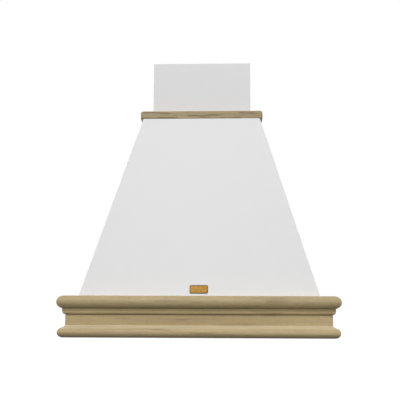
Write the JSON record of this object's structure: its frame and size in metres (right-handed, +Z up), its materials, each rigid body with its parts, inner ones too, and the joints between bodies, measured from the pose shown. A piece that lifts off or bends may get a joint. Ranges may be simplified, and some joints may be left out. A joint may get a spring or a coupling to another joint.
{
  "type": "wooden range hood cover",
  "caption": "Wall-hung range hood: tapered painted wooden cover with oak base and cap mouldings, sliding chimney box, and blower, filters and controls inside.",
  "frame": {"origin": "on the wall plane, in the middle of the hood's width, at the underside of the base moulding", "axes": "+X to the right as seen from the front, +Y into the wall (the front faces -Y), +Z up"},
  "size_m": [0.668, 0.5, 0.755],
  "materials": {
    "painted_board": "smooth satin paint, off-white",
    "oak": "raw oak, unfinished, horizontal grain",
    "softwood": "planed softwood",
    "brass": "satin brass, bare",
    "zinc_steel": "zinc-plated steel",
    "stainless": "brushed stainless sheet",
    "galvanised": "galvanised sheet steel",
    "filter_aluminium": "anodised aluminium",
    "filter_mesh": "layered expanded aluminium mesh",
    "black_plastic": "black moulded plastic",
    "grey_plastic": "grey moulded plastic",
    "button_plastic": "satin metallised plastic",
    "lamp_glass": "frosted glass",
    "motor_paint": "black painted steel",
    "lead_sheath": "flexible insulated lead"
  },
  "bodies": {
    "root": {"front_panel": "painted_board", "right_side_panel": "painted_board", "left_side_panel": "painted_board", "top_bead_front": "oak", "top_bead_right": "oak", "top_bead_left": "oak", "frieze_front": "oak", "frieze_right": "oak", "frieze_left": "oak", "cap_moulding_front": "oak", "cap_moulding_right": "oak", "cap_moulding_left": "oak", "corner_battens": "softwood", "rear_battens": "softwood", "hanging_rail": "softwood", "base_rail_front": "softwood", "base_rail_right": "softwood", "base_rail_left": "softwood", "base_rail_rear": "softwood", "badge_plate": "brass", "moulding_screws": "zinc_steel", "tray_screws": "zinc_steel", "blower_bolts": "zinc_steel", "damper_pins": "zinc_steel", "canopy_tray": "stainless", "blower_bearers": "galvanised", "blower_feet": "galvanised", "motor_spider": "galvanised", "scroll_half_right": "black_plastic", "scroll_half_left": "black_plastic", "outlet_collar": "black_plastic", "switch_box": "black_plastic", "terminal_box": "grey_plastic", "cable_gland": "grey_plastic", "switches": "grey_plastic", "lamp_lenses": "lamp_glass", "motor": "motor_paint", "lamp_housings": "motor_paint", "internal_leads": "lead_sheath"},
    "chimney": {"chimney_front": "painted_board", "chimney_right": "painted_board", "chimney_left": "painted_board", "chimney_battens": "softwood", "chimney_bracket": "galvanised", "chimney_screws": "zinc_steel"},
    "wheel": {"blower_wheel": "black_plastic", "wheel_rings": "black_plastic", "motor_shaft": "zinc_steel"},
    "flap_front": {"damper_flap_front": "black_plastic"},
    "flap_rear": {"damper_flap_rear": "black_plastic"},
    "filter_right": {"filter_frame_right": "filter_aluminium", "filter_mesh_right": "filter_mesh"},
    "filter_left": {"filter_frame_left": "filter_aluminium", "filter_mesh_left": "filter_mesh"},
    "latch_right": {"filter_latch_right": "black_plastic"},
    "latch_left": {"filter_latch_left": "black_plastic"},
    "button_1": {"push_button_1": "button_plastic"},
    "button_2": {"push_button_2": "button_plastic"},
    "button_3": {"push_button_3": "button_plastic"},
    "button_4": {"push_button_4": "button_plastic"},
    "button_5": {"push_button_5": "button_plastic"}
  },
  "joints": [
    {"name": "chimney_slide", "type": "slide", "parent": "root", "child": "chimney", "axis": [0, 0, 1], "range_m": [0, 0.22]},
    {"name": "wheel_spin", "type": "hinge", "parent": "root", "child": "wheel", "pos_m": [0, -0.173, 0.215], "axis": [1, 0, 0], "continuous": true},
    {"name": "flap_front_swing", "type": "hinge", "parent": "root", "child": "flap_front", "pos_m": [0, -0.136, 0.3513], "axis": [-1, 0, 0], "range_deg": [0, 80]},
    {"name": "flap_rear_swing", "type": "hinge", "parent": "root", "child": "flap_rear", "pos_m": [0, -0.128, 0.3513], "axis": [1, 0, 0], "range_deg": [0, 80]},
    {"name": "filter_right_tilt", "type": "hinge", "parent": "root", "child": "filter_right", "pos_m": [0.123, -0.05, 0.0148], "axis": [1, 0, 0], "range_deg": [0, 75]},
    {"name": "latch_right_slide", "type": "slide", "parent": "filter_right", "child": "latch_right", "axis": [0, 1, 0], "range_m": [0, 0.005], "stiffness_N_per_m": 200, "springref_m": -0.004},
    {"name": "filter_left_tilt", "type": "hinge", "parent": "root", "child": "filter_left", "pos_m": [-0.123, -0.05, 0.0148], "axis": [1, 0, 0], "range_deg": [0, 75]},
    {"name": "latch_left_slide", "type": "slide", "parent": "filter_left", "child": "latch_left", "axis": [0, 1, 0], "range_m": [0, 0.005], "stiffness_N_per_m": 200, "springref_m": -0.004},
    {"name": "button_1_press", "type": "slide", "parent": "root", "child": "button_1", "axis": [0, 0, 1], "range_m": [0, 0.003], "stiffness_N_per_m": 300, "springref_m": -0.002},
    {"name": "button_2_press", "type": "slide", "parent": "root", "child": "button_2", "axis": [0, 0, 1], "range_m": [0, 0.003], "stiffness_N_per_m": 300, "springref_m": -0.002},
    {"name": "button_3_press", "type": "slide", "parent": "root", "child": "button_3", "axis": [0, 0, 1], "range_m": [0, 0.003], "stiffness_N_per_m": 300, "springref_m": -0.002},
    {"name": "button_4_press", "type": "slide", "parent": "root", "child": "button_4", "axis": [0, 0, 1], "range_m": [0, 0.003], "stiffness_N_per_m": 300, "springref_m": -0.002},
    {"name": "button_5_press", "type": "slide", "parent": "root", "child": "button_5", "axis": [0, 0, 1], "range_m": [0, 0.003], "stiffness_N_per_m": 300, "springref_m": -0.002}
  ]
}
